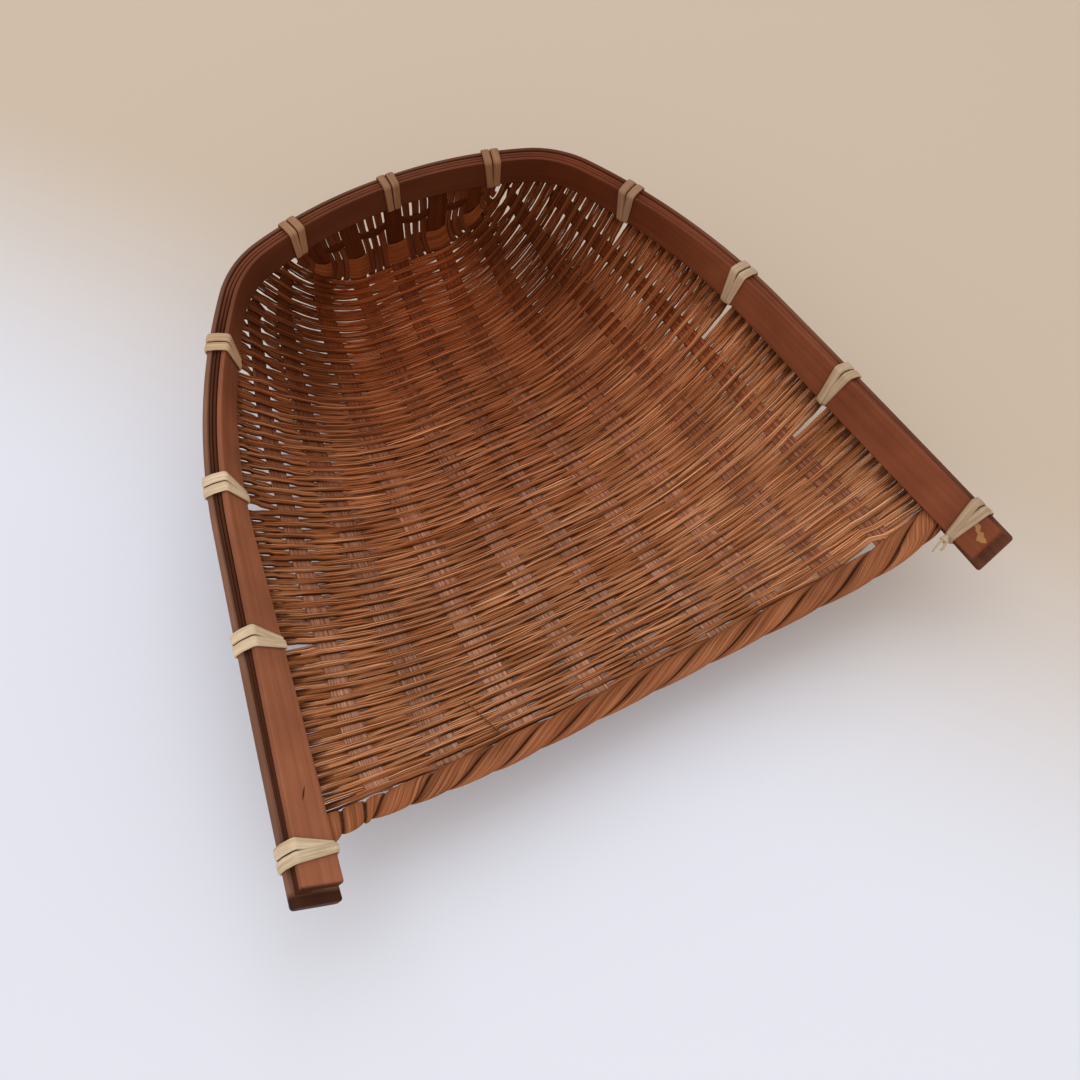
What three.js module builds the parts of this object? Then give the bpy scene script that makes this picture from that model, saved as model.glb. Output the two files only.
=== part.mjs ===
// Dustpan basket: a bamboo mat woven into a scoop and clamped in a bent two-hoop rim with rattan ties.
// Millimetres, +Z up, the open mouth towards -Y, the origin under the middle of the basket.
import * as THREE from 'three';

const rad = THREE.MathUtils.degToRad;

// Rim: a wide bend across the back, two tight corners, slow bends into two straight arms that open outwards.
// The lengths are those of one half.
const backBendRadius = 188;
const backBendLength = 63.7;
const cornerRadius = 40;
const cornerLength = 27.2;
const flankRadius = 273;
const armLength = 135.6;
const armSlant = rad(9.55);
const rimTopHeight = 84.4;
const rimTilt = rad(7.36);
const tipFaceAngle = rad(35);
const twistStart = 81;
const hoopBackThickness = 1.6;
const hoopTipThickness = 2.95;
const innerHoopBackHeight = 12.5;
const innerHoopTipHeight = 15.6;
const outerHoopBackHeight = 13;
const outerHoopTipHeight = 18.6;
const innerHoopShort = 4;
const hoopChamfer = 0.5;
const fillerThickness = 1.25;
const fillerHeight = 5.5;

// Mat: wide warps from front to back, courses of fine wefts from side to side
const warpPairs = 4;
const warpWidth = 9.8;
const warpThickness = 0.9;
const warpPitchFront = 27.4;
const warpPitchBack = 22;
const courseCount = 24;
const courseGap = 0.4;
const weftThickness = 1.1;
const matTuck = 6.5;
const matBend = 2;
const matFrontInset = 29.5;
const matCornerReach = 52.5;
const frontLift = 22.3;
const frontRun = 55.4;
const frontCurve = 1.6;
const floorFlat = 19.2;
const floorBendRadius = 44.7;
const wallFootAngle = rad(75.5);
const wallFootInset = 0.4;
const sideCurve = 2.5;

// Back wall: split stakes between the warps, and two strips that cross them
const stakePairs = 2;
const stakeWidth = 10;
const splitWidth = 1.2;
const stakeThickness = 0.9;
const stripThickness = 0.9;
const baseStripFrom = 0.08;
const baseStripTo = 0.38;
const upperStripFrom = 0.62;
const upperStripTo = 0.76;
const stripOverhang = 2;

// Front border: the warp ends folded over each other into one rolled edge
const borderWidth = 13;
const borderLeftWidth = 6.5;
const borderLeftTaper = 70;
const borderThickness = 6.4;
const borderLobes = 2;
const borderRelief = 0.1;
const borderEndGap = 2;

// Ties: rattan peel, two turns round the rim and through the mat below the inner hoop
const tieWidth = 4.2;
const tieThickness = 0.9;
const tieHoleWidth = 2;
const tieEveryCourses = 6;
const sideTies = 3;
const frontTieInset = 16.2;

// Clearance between pieces that touch
const fit = 0.3;

const colours = {
  hoop: 0x7a4330,
  filler: 0x5d3020,
  warp: 0x8d5a48,
  weft: 0x96582f,
  border: 0x8f5733,
  tie: 0xd9bd92,
};

function material(name) {
  return new THREE.MeshStandardMaterial({ color: colours[name], roughness: 0.55, metalness: 0 });
}

const basket = new THREE.Group();
basket.name = 'dustpan_basket';

function addPiece(name, geometry, finish) {
  const mesh = new THREE.Mesh(geometry, material(finish));
  mesh.name = name;
  basket.add(mesh);
}

// Turns triangles the right way round if the body they close has a negative volume
function closedGeometry(points, triangles) {
  let volume = 0;
  for (const [a, b, c] of triangles) {
    volume += points[a].dot(new THREE.Vector3().crossVectors(points[b], points[c]));
  }
  const faces = volume < 0 ? triangles.map(([a, b, c]) => [a, c, b]) : triangles;
  const geometry = new THREE.BufferGeometry();
  const coordinates = points.flatMap((p) => p.toArray());
  geometry.setAttribute('position', new THREE.Float32BufferAttribute(coordinates, 3));
  geometry.setIndex(faces.flat());
  geometry.computeVertexNormals();
  return geometry;
}

// A closed body through a row of sections that all have the same number of points
function loft(sections) {
  const sides = sections[0].length;
  const points = sections.flat();
  const triangles = [];
  for (let i = 0; i + 1 < sections.length; i++) {
    for (let j = 0; j < sides; j++) {
      const a = i * sides + j;
      const b = i * sides + (j + 1) % sides;
      triangles.push([a, b, b + sides], [a, b + sides, a + sides]);
    }
  }
  const last = (sections.length - 1) * sides;
  for (let j = 1; j + 1 < sides; j++) {
    triangles.push([0, j + 1, j], [last, last + j, last + j + 1]);
  }
  return closedGeometry(points, triangles);
}

// A flat strip laid on a grid of stations, each with a point, a normal and a height along that normal.
// Cells that isOpen names are left out, which makes see-through splits.
function strip(grid, thickness, isOpen = () => false) {
  const rows = grid.length;
  const columns = grid[0].length;
  const points = [];
  for (const side of [-0.5, 0.5]) {
    for (const row of grid) {
      for (const { point, normal, height } of row) {
        points.push(point.clone().addScaledVector(normal, height + side * thickness));
      }
    }
  }
  const low = (i, j) => i * columns + j;
  const high = (i, j) => rows * columns + low(i, j);
  const solid = (i, j) => i >= 0 && j >= 0 && i + 1 < rows && j + 1 < columns && !isOpen(i, j);
  const triangles = [];
  const quad = (a, b, c, d) => triangles.push([a, b, c], [a, c, d]);
  for (let i = 0; i + 1 < rows; i++) {
    for (let j = 0; j + 1 < columns; j++) {
      if (!solid(i, j)) continue;
      quad(high(i, j), high(i, j + 1), high(i + 1, j + 1), high(i + 1, j));
      quad(low(i, j), low(i + 1, j), low(i + 1, j + 1), low(i, j + 1));
      if (!solid(i - 1, j)) quad(low(i, j), low(i, j + 1), high(i, j + 1), high(i, j));
      if (!solid(i + 1, j)) quad(low(i + 1, j + 1), low(i + 1, j), high(i + 1, j), high(i + 1, j + 1));
      if (!solid(i, j - 1)) quad(low(i + 1, j), low(i, j), high(i, j), high(i + 1, j));
      if (!solid(i, j + 1)) quad(low(i, j + 1), low(i + 1, j + 1), high(i + 1, j + 1), high(i, j + 1));
    }
  }
  return closedGeometry(points, triangles);
}

// Rim frame. s runs along the middle of the rim from the back centre, positive to the right.
const flankTurn = Math.PI / 2 - armSlant - backBendLength / backBendRadius - cornerLength / cornerRadius;
const flankLength = flankRadius * flankTurn;
const bends = [[backBendLength, backBendRadius], [cornerLength, cornerRadius], [flankLength, flankRadius]];
const arcLength = backBendLength + cornerLength + flankLength;
const rimHalf = arcLength + armLength;
const hoopGap = 2 * fillerThickness + 3 * fit;

// The hoops are shaved thinner and narrower towards the bend at the back
const shaved = (back, tip) => (s) => back + (tip - back) * Math.abs(s) / rimHalf;
const hoopThickness = shaved(hoopBackThickness, hoopTipThickness);
const innerHeight = shaved(innerHoopBackHeight, innerHoopTipHeight);
const outerHeight = shaved(outerHoopBackHeight, outerHoopTipHeight);
const rimBackHeight = rimTopHeight - outerHoopBackHeight / 2;

// One half of the rim in plan, from the back centre: the arcs one after the other, then the straight arm
function rimLine(run) {
  let left = run;
  let turn = 0;
  let x = 0;
  let y = 0;
  for (const [length, radius] of bends) {
    const part = Math.min(left, length);
    const ahead = turn + part / radius;
    x += radius * (Math.sin(ahead) - Math.sin(turn));
    y -= radius * (Math.cos(turn) - Math.cos(ahead));
    turn = ahead;
    left -= part;
  }
  return { x: x + left * Math.cos(turn), y: y - left * Math.sin(turn), turn };
}

function rimFrame(s) {
  const side = s < 0 ? -1 : 1;
  const run = Math.abs(s);
  const { x, y, turn } = rimLine(run);
  const z = rimBackHeight + y * Math.tan(rimTilt);
  const twist = Math.max(0, run - twistStart) / (rimHalf - twistStart);
  const angle = Math.PI / 2 + (tipFaceAngle - Math.PI / 2) * twist;
  const outward = new THREE.Vector3(side * Math.sin(turn), Math.cos(turn), 0);
  const upward = new THREE.Vector3(0, 0, 1);
  const up = outward.clone().multiplyScalar(Math.cos(angle)).addScaledVector(upward, Math.sin(angle));
  const out = outward.clone().multiplyScalar(Math.sin(angle)).addScaledVector(upward, -Math.cos(angle));
  return { point: new THREE.Vector3(side * x, y, z), up, out };
}

function rimPoint(s, rise, outset) {
  const { point, up, out } = rimFrame(s);
  return point.addScaledVector(up, rise).addScaledVector(out, outset);
}

// Places along the rim for the sections of a hoop, closer together in the corners
function rimStations(end) {
  const steps = [[backBendLength, 6], [cornerLength, 6], [flankLength, 9], [end - arcLength, 11]];
  const half = [0];
  for (const [length, count] of steps) {
    const from = half.at(-1);
    for (let i = 1; i <= count; i++) half.push(from + length * i / count);
  }
  return [...half.slice(1).reverse().map((s) => -s), ...half];
}

// A strip of bamboo bent along the rim, one on each side of the gap, with its long corners taken off
function hoop(side, end, height) {
  const section = (s) => {
    const h = height(s) / 2;
    const t = hoopThickness(s) / 2;
    const outset = side * (hoopGap / 2 + t);
    const c = hoopChamfer;
    const outline = [[h, t - c], [h - c, t], [c - h, t], [-h, t - c],
      [-h, c - t], [c - h, -t], [h - c, -t], [h, c - t]];
    return outline.map(([a, b]) => rimPoint(s, a, outset + b));
  };
  return loft(rimStations(end).map(section));
}

// A thin strip that fills the gap between the hoops, its top level with the inner hoop
function filler(side, end) {
  const middle = side * (fillerThickness + fit) / 2;
  const half = fillerThickness / 2;
  const section = (s) => {
    const top = innerHeight(s) / 2;
    const low = top - fillerHeight;
    const outline = [[top, half], [low, half], [low, -half], [top, -half]];
    return outline.map(([a, b]) => rimPoint(s, a, middle + b));
  };
  return loft(rimStations(end).map(section));
}

const innerEnd = rimHalf - innerHoopShort;
addPiece('inner_hoop', hoop(-1, innerEnd, innerHeight), 'hoop');
addPiece('outer_hoop', hoop(1, rimHalf, outerHeight), 'hoop');
addPiece('rim_filler_inner', filler(-1, innerEnd), 'filler');
addPiece('rim_filler_outer', filler(1, innerEnd), 'filler');

// Mat surface. u runs from side to side and v from the front edge to the last weft.
const weaveLift = (warpThickness + weftThickness) / 2 + fit;
const floorHeight = weaveLift + weftThickness / 2;
const clampRise = (s) => -(innerHeight(s) / 2 + matBend);
const rimFront = rimHalf - matFrontInset;

const rimAt = (v) => rimFront + (matCornerReach - rimFront) * v;
const clampPoint = (s) => rimPoint(s, clampRise(s), 0);
const frontY = clampPoint(rimFront).y;
const bendY = -wallFootInset - floorBendRadius * Math.sin(wallFootAngle);
const flatRun = bendY - frontY;
const midLength = flatRun + floorBendRadius * wallFootAngle;

// Height and place of the mat along its middle: a raised lip, a flat floor and a bend up to the wall
function midLine(v) {
  const run = v * midLength;
  const lip = Math.max(0, 1 - run / frontRun);
  const turn = Math.max(0, run - flatRun) / floorBendRadius;
  const y = frontY + Math.min(run, flatRun) + floorBendRadius * Math.sin(turn);
  const z = frontLift * lip ** frontCurve + floorBendRadius * (1 - Math.cos(turn));
  return { y, z: floorHeight + z };
}

function mat(u, v) {
  const clamp = clampPoint(rimAt(v));
  const middle = midLine(v);
  const flat = floorFlat / 2;
  const climb = Math.max(0, (Math.abs(u) * clamp.x - flat) / (clamp.x - flat));
  const y = middle.y + (clamp.y - middle.y) * u * u;
  const z = middle.z + (clamp.z - middle.z) * climb ** sideCurve;
  return new THREE.Vector3(u * clamp.x, y, z);
}

const nudge = 1e-3;
function matNormal(u, v) {
  const across = mat(u + nudge, v).sub(mat(u - nudge, v));
  const along = mat(u, v + nudge).sub(mat(u, v - nudge));
  return across.cross(along).normalize();
}

// Back wall. w runs up from the last weft to the rim.
function wall(u, w) {
  const foot = mat(u, 1);
  const head = clampPoint(u * matCornerReach);
  const reach = foot.distanceTo(head) / 3;
  const rise = mat(u, 1).sub(mat(u, 1 - nudge)).normalize();
  const curve = new THREE.CubicBezierCurve3(foot, foot.clone().addScaledVector(rise, reach),
    head.clone().add(new THREE.Vector3(0, 0, -reach)), head);
  return curve.getPoint(w);
}

function wallNormal(u, w) {
  const low = Math.max(0, w - nudge);
  const across = wall(u + nudge, w).sub(wall(u - nudge, w));
  const along = wall(u, low + nudge).sub(wall(u, low));
  return across.cross(along).normalize();
}

// Lengths along one row of the mat, from its middle to the rim
const rowSteps = 80;
function rowLengths(v) {
  const lengths = [0];
  for (let i = 1; i <= rowSteps; i++) {
    lengths.push(lengths[i - 1] + mat(i / rowSteps, v).distanceTo(mat((i - 1) / rowSteps, v)));
  }
  return lengths;
}

function acrossAt(v, length) {
  const lengths = rowLengths(v);
  const target = Math.min(Math.abs(length), lengths.at(-1));
  const i = Math.max(1, lengths.findIndex((l) => l >= target));
  const part = (target - lengths[i - 1]) / (lengths[i] - lengths[i - 1]);
  return Math.sign(length) * (i - 1 + part) / rowSteps;
}

const warpPitch = (v) => warpPitchFront + (warpPitchBack - warpPitchFront) * v;
const edgeLength = (place, width, side, v) => place * warpPitch(v) + side * width / 2;
const courseEdge = (k) => k / courseCount;

// A warp runs on for as many courses as it has room beside the rim
function warpCourses(place) {
  for (let k = courseCount; k > 0; k--) {
    const v = courseEdge(k);
    if (Math.abs(place) * warpPitch(v) + warpWidth < rowLengths(v).at(-1)) return k;
  }
  return 0;
}

const places = Array.from({ length: 2 * warpPairs + 1 }, (_, i) => i - warpPairs);
const warps = places.map((place) => ({ place, courses: warpCourses(place) }));

const onMat = (u, v, height) => ({ point: mat(u, v), normal: matNormal(u, v), height });
const onWall = (u, w, height) => ({ point: wall(u, w), normal: wallNormal(u, w), height });

function inRim(s, rise) {
  return { point: rimPoint(s, rise, 0), normal: rimFrame(s).out.negate(), height: 0 };
}

const tucked = (s) => inRim(s, clampRise(s) + matTuck);

// Warps: flat strips that lie in the mat's surface, turn up the back wall and end between the hoops.
// The middle one stops below the tie that passes there.
const wallStops = [0.04, baseStripFrom, baseStripTo, 0.5, upperStripFrom, upperStripTo, 0.88];
const tieDrop = outerHoopBackHeight / 2 + 2 * fit + tieThickness;
const sides = [-1, 1];

function wallEdge(place, width, side) {
  return acrossAt(1, edgeLength(place, width, side, 1));
}

function wallHead(u, place) {
  const s = u * matCornerReach;
  return place === 0 ? [inRim(s, -tieDrop - fit)] : [onWall(u, 1, 0), tucked(s)];
}

for (const { place, courses } of warps) {
  const grid = sides.map((side) => {
    const stations = [];
    for (let k = 0; k <= courses; k++) {
      const v = courseEdge(k);
      stations.push(onMat(acrossAt(v, edgeLength(place, warpWidth, side, v)), v, 0));
    }
    if (courses < courseCount) return stations;
    const u = wallEdge(place, warpWidth, side);
    return [...stations, ...wallStops.map((w) => onWall(u, w, 0)), ...wallHead(u, place)];
  });
  addPiece(`warp_${place + warpPairs + 1}`, strip(grid, warpThickness), 'warp');
}

// Weft courses: each passes over one warp and under the next, and ends between the hoops.
// Beside a tie the edges of the courses part, so that the tie can go through the mat.
const tieHoleHalf = tieHoleWidth + fit / 2 + fit;
const isTieEdge = (k) => k > 0 && k <= sideTies * tieEveryCourses && k % tieEveryCourses === 0;

function clampStation(side, v) {
  const s = side * rimAt(v);
  const normal = matNormal(side * (1 - nudge), v).add(rimFrame(s).out.negate()).normalize();
  return { point: mat(side, v), normal, height: 0 };
}

function courseSide(k, edge) {
  const inward = edge === k ? 1 : -1;
  const rimRun = rimFront - matCornerReach;
  const v = courseEdge(edge) + inward * courseGap / 2 / rimRun;
  const held = v + (isTieEdge(edge) ? inward * tieHoleHalf / rimRun : 0);
  const stations = [];
  for (const { place, courses } of warps) {
    if (courses <= k) continue;
    const height = (place + k) % 2 === 0 ? weaveLift : -weaveLift;
    for (const side of sides) {
      stations.push(onMat(acrossAt(v, edgeLength(place, warpWidth, side, v)), v, height));
    }
  }
  const tail = (side) => tucked(side * rimAt(held));
  return [tail(-1), clampStation(-1, held), ...stations, clampStation(1, held), tail(1)];
}

for (let k = 0; k < courseCount; k++) {
  const grid = [courseSide(k, k), courseSide(k, k + 1)];
  addPiece(`weft_course_${String(k + 1).padStart(2, '0')}`, strip(grid, weftThickness), 'weft');
}

// Stakes: short strips split in two that fill the wall between the warps
const stakePlaces = Array.from({ length: 2 * stakePairs }, (_, i) => i + 0.5 - stakePairs);

stakePlaces.forEach((place, index) => {
  const grid = [-stakeWidth, -splitWidth, splitWidth, stakeWidth].map((edge) => {
    const u = acrossAt(1, place * warpPitch(1) + edge / 2);
    return [...wallStops.map((w) => onWall(u, w, 0)), ...wallHead(u, place)];
  });
  const lastSplit = wallStops.length - 1;
  const isOpen = (i, j) => i === 1 && j > 0 && j < lastSplit;
  addPiece(`wall_stake_${index + 1}`, strip(grid, stakeThickness, isOpen), 'warp');
});

// Wall strips: the wide one passes inside the warps and outside the stakes, the narrow one the other way
function wallStrip(from, to, warpSide) {
  const lift = (warpThickness + stripThickness) / 2 + fit;
  const wallWarps = warps.filter(({ courses }) => courses === courseCount);
  const overWarps = wallWarps.map(({ place }) => ({ place, width: warpWidth, height: warpSide * lift }));
  const overStakes = stakePlaces.map((place) => ({ place, width: stakeWidth, height: -warpSide * lift }));
  const crossings = [...overWarps, ...overStakes].sort((a, b) => a.place - b.place);
  const reach = wallWarps.at(-1).place * warpPitch(1) + warpWidth / 2 + stripOverhang;
  const end = acrossAt(1, reach);
  const grid = [from, to].map((w) => {
    const stations = crossings.flatMap(({ place, width, height }) => (
      sides.map((side) => onWall(wallEdge(place, width, side), w, height))));
    return [onWall(-end, w, warpSide * lift), ...stations, onWall(end, w, warpSide * lift)];
  });
  return strip(grid, stripThickness);
}

addPiece('back_base_strip', wallStrip(baseStripFrom, baseStripTo, 1), 'weft');
addPiece('back_upper_strip', wallStrip(upperStripFrom, upperStripTo, -1), 'weft');

// Front border: a flattened roll with slanting folds, in front of the first course
function border() {
  const half = rowLengths(0).at(-1) - borderEndGap;
  const stations = 40;
  const sectionPoints = 10;
  const foldRate = Math.PI / warpPitchFront;
  const sections = [];
  for (let i = 0; i <= stations; i++) {
    const length = half * (2 * i / stations - 1);
    const u = acrossAt(0, length);
    const back = mat(u, nudge).sub(mat(u, 0)).normalize();
    const normal = matNormal(u, 0);
    const grown = Math.min(1, (length + half) / borderLeftTaper);
    const scale = 1 + (borderLeftWidth / borderWidth - 1) * (1 - grown) ** 2;
    const width = scale * borderWidth;
    const thickness = scale * borderThickness;
    const centre = mat(u, 0).addScaledVector(back, -(width / 2 + fit));
    const section = [];
    for (let j = 0; j < sectionPoints; j++) {
      const angle = 2 * Math.PI * j / sectionPoints;
      const fold = 1 - borderRelief * (1 - Math.cos(borderLobes * (angle - foldRate * length))) / 2;
      section.push(centre.clone().addScaledVector(back, fold * Math.cos(angle) * width / 2)
        .addScaledVector(normal, fold * Math.sin(angle) * thickness / 2));
    }
    sections.push(section);
  }
  return loft(sections);
}

addPiece('front_border', border(), 'border');

// One tie: a flat strand that goes round the rim twice and narrows where it passes through the mat
function tie(s) {
  const skin = fit + tieThickness / 2;
  const corner = hoopChamfer + fit;
  const face = hoopGap / 2 + hoopThickness(s) + skin;
  const outerRise = outerHeight(s) / 2 + skin;
  const innerRise = innerHeight(s) / 2 + skin;
  const narrow = { width: tieHoleWidth, lane: (tieHoleWidth + fit) / 2 };
  const wide = { width: tieWidth, lane: (tieWidth + fit) / 2 };
  const middle = { width: (tieWidth + tieHoleWidth) / 2, lane: (wide.lane + narrow.lane) / 2 };
  const turn = [[-outerRise, 0, narrow],
    [-innerRise, corner - face, middle], [corner - innerRise, -face, middle],
    [innerRise - corner, -face, wide], [innerRise, corner - face, wide], [outerRise, 0, wide],
    [outerRise, face - corner, wide], [outerRise - corner, face, wide],
    [corner - outerRise, face, middle], [-outerRise, face - corner, middle]];
  const path = [...turn.map((stop) => [...stop, -1]), ...turn.slice(0, -1).map((stop) => [...stop, 1])];
  const spots = path.map(([rise, outset]) => new THREE.Vector2(rise, outset));
  const sections = path.map(([rise, outset, { width, lane }, side], i) => {
    const ahead = spots[Math.min(i + 1, spots.length - 1)];
    const behind = spots[Math.max(i - 1, 0)];
    const before = spots[i].clone().sub(behind).normalize();
    const after = ahead.clone().sub(spots[i]).normalize();
    const along = before.add(after).normalize();
    const bulge = tieThickness / 2;
    return [[-1, -1], [1, -1], [1, 1], [-1, 1]].map(([a, b]) => (
      rimPoint(s + side * lane + a * width / 2, rise - b * bulge * along.y, outset + b * bulge * along.x)));
  });
  return loft(sections);
}

const cornerTie = matCornerReach * (wallEdge(stakePairs, warpWidth, 1) + 1) / 2;
const tiePlaces = { corner: cornerTie, front: rimHalf - frontTieInset };
['fore', 'middle', 'rear'].slice(0, sideTies).forEach((name, i) => {
  tiePlaces[name] = rimAt(courseEdge((i + 1) * tieEveryCourses));
});
addPiece('tie_back', tie(0), 'tie');
for (const [name, s] of Object.entries(tiePlaces)) {
  addPiece(`tie_${name}_left`, tie(-s), 'tie');
  addPiece(`tie_${name}_right`, tie(s), 'tie');
}

// The origin goes under the middle of the whole basket, on the surface that it stands on
const box = new THREE.Box3().setFromObject(basket);
const centre = box.getCenter(new THREE.Vector3());
basket.position.set(-centre.x, -centre.y, -box.min.z);
basket.updateMatrixWorld(true);

export default basket;
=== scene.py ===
import bpy
import numpy as np
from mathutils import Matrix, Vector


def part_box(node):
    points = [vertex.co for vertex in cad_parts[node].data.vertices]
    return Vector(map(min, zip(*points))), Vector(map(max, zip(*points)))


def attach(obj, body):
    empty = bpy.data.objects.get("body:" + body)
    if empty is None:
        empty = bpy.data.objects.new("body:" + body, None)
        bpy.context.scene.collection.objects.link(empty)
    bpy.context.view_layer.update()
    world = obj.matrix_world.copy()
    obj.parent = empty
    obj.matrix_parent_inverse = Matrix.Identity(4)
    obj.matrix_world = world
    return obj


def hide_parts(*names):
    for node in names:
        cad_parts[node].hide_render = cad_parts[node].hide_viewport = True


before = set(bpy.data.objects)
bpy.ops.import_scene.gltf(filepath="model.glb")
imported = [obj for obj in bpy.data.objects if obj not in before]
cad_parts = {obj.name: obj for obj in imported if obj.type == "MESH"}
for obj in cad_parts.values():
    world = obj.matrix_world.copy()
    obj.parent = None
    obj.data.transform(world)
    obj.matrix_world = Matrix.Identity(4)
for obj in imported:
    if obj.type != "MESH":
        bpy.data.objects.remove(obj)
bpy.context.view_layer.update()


# Warps: nine wide flat strips of smoked bamboo that lie side by side from the front edge to the back.
# They are the mat's stiff members. The mat is shaped to the bent rim, so the rim's line comes first,
# and at the back the strips turn up the wall and end between the two hoops.
back_radius, back_length = 0.188, 0.0637
corner_radius, corner_length = 0.040, 0.0272
flank_radius = 0.273
arm_length = 0.1356
arm_slant = np.radians(9.55)
rim_top = 0.0844
rim_tilt = np.radians(7.36)
tip_face_angle = np.radians(35)
twist_start = 0.081
flank_turn = np.pi / 2 - arm_slant - back_length / back_radius - corner_length / corner_radius
flank_length = flank_radius * flank_turn
bends = ((back_length, back_radius), (corner_length, corner_radius), (flank_length, flank_radius))
rim_half = back_length + corner_length + flank_length + arm_length

hoop_gap = 0.0034
hoop_thickness = (0.0016, 0.00295)
inner_height = (0.0125, 0.0156)
outer_height = (0.013, 0.0186)
rim_back_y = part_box("outer_hoop")[1].y - hoop_gap / 2 - hoop_thickness[0]
rim_back_z = rim_top - outer_height[0] / 2

mat_tuck = 0.0065
mat_bend = 0.002
mat_front_inset = 0.0295
mat_corner_reach = 0.0525
front_lift = 0.0223
front_run = 0.0554
front_curve = 1.6
floor_flat = 0.0192
floor_height = 0.00185
floor_bend_radius = 0.0447
wall_foot_angle = np.radians(75.5)
wall_foot_inset = 0.0004
side_curve = 2.5

warp_pairs = 4
warp_width = 0.0098
warp_widths = 0.0096, 0.0115, 0.0113, 0.0090, 0.0087, 0.0094, 0.0096, 0.0098, 0.0081
warp_thickness = 0.0005
warp_pitch_front, warp_pitch_back = 0.0274, 0.022
warp_colours = ((0.195, 0.075, 0.042), (0.338, 0.148, 0.086), (0.545, 0.305, 0.200))
# Painted shade on the warps: darker towards the back, on the right, in the back corners and on the wall.
warp_back_shading, warp_right_shading, warp_corner_shading = 0.25, 0.15, 0.35
wall_shading = 0.78
# Painted shade: how much the warps redden towards the back and to the right.
warp_shade_reddening, warp_shade_reddening_right = 1.0, 0.5
# Painted shade: parts redden and darken towards the back and to the right, where less light falls.
mat_shade_reddening_start = -0.06
shade_reddening_back_full = 0.12
shade_reddening_right_range = (0.02, 0.10)
shade_reddening_tint = (0.60, 0.26, 0.10)
# The brown that the tone attribute mixes towards, for real stains and marks and for painted shade.
stain_and_shade_brown = (0.030, 0.006, 0.001)
strand_shift = 7.3
fibre_levels = (0.34, 0.50, 0.68)
patch_scale = 45.0
patch_range = {"From Min": 0.3, "From Max": 0.7, "To Min": 0.84, "To Max": 1.14}


def shaved(s, sizes):
    """A size that goes evenly from its value at the back of the rim to its value at the arms' tips."""
    back, tip = sizes
    return back + (tip - back) * np.abs(s) / rim_half


def rim_line(s):
    """Half of the rim in plan, from the back middle: three arcs one after the other, each with its own
    radius, then a straight arm. Gives the way across, the way to the front and the turn."""
    left = np.abs(s)
    across, drop, turn = 0.0, 0.0, 0.0
    for length, radius in bends:
        run = np.minimum(left, length)
        ahead = turn + run / radius
        across = across + radius * (np.sin(ahead) - np.sin(turn))
        drop = drop + radius * (np.cos(turn) - np.cos(ahead))
        turn = ahead
        left = left - run
    return across + left * np.cos(turn), drop + left * np.sin(turn), turn


def rim_axes(s):
    """Directions up the face of the rim and out of it: upright at the back, and turned outwards about the
    rim's line by an angle that grows evenly from where the twist starts to the tips."""
    turn = rim_line(s)[2]
    twist = np.maximum(0, np.abs(s) - twist_start) / (rim_half - twist_start)
    face = np.pi / 2 + (tip_face_angle - np.pi / 2) * twist
    out_x, out_y = np.sign(s) * np.sin(turn), np.cos(turn)
    up = np.stack([out_x * np.cos(face), out_y * np.cos(face), np.sin(face)], -1)
    out = np.stack([out_x * np.sin(face), out_y * np.sin(face), -np.cos(face)], -1)
    return up, out


def rim(s, rise=0.0, outset=0.0):
    """The rim in a tilted plane. s is the length from the back middle, positive to the right; rise and outset
    go up the rim's face and out of it."""
    s, rise, outset = np.broadcast_arrays(s, rise, outset)
    across, drop, _ = rim_line(s)
    line = np.stack([np.sign(s) * across, rim_back_y - drop, rim_back_z - drop * np.tan(rim_tilt)], -1)
    up, out = rim_axes(s)
    return line + rise[..., None] * up + outset[..., None] * out


def clamp_rise(s):
    """How far below the rim's middle the mat goes in between the hoops."""
    return -(shaved(s, inner_height) / 2 + mat_bend)


rim_front = rim_half - mat_front_inset
front_y = rim(rim_front, clamp_rise(rim_front))[1]
flat_run = rim_back_y - wall_foot_inset - floor_bend_radius * np.sin(wall_foot_angle) - front_y
mid_length = flat_run + floor_bend_radius * wall_foot_angle


def rim_at(v):
    """Place along the rim where the row v of the mat ends."""
    return rim_front + (mat_corner_reach - rim_front) * v


def mat(u, v):
    """The bowl. Along its middle v runs over a raised lip, a flat floor and a round bend upwards. Each row
    u goes from there to the rim on both sides, and climbs as a power of the distance."""
    u, v = np.broadcast_arrays(u, v)
    run = v * mid_length
    lip = np.maximum(0, 1 - run / front_run)
    turn = np.maximum(0, run - flat_run) / floor_bend_radius
    mid_y = front_y + np.minimum(run, flat_run) + floor_bend_radius * np.sin(turn)
    mid_z = floor_height + front_lift * lip ** front_curve + floor_bend_radius * (1 - np.cos(turn))
    end = rim(rim_at(v), clamp_rise(rim_at(v)))
    flat = floor_flat / 2
    climb = np.maximum(0, (np.abs(u) * end[..., 0] - flat) / (end[..., 0] - flat)) ** side_curve
    y = mid_y + (end[..., 1] - mid_y) * u * u
    return np.stack([u * end[..., 0], y, mid_z + (end[..., 2] - mid_z) * climb], -1)


def unit(vectors):
    """Each vector divided by its length."""
    return vectors / np.linalg.norm(vectors, axis=-1, keepdims=True)


def mat_axes(u, v):
    """Directions across the row towards the back, and out of the bowl's upper face, from small steps."""
    step = 1e-3
    along = mat(u + step, v) - mat(u - step, v)
    back = unit(mat(u, v + step) - mat(u, v - step))
    return back, unit(np.cross(along, back))


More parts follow.
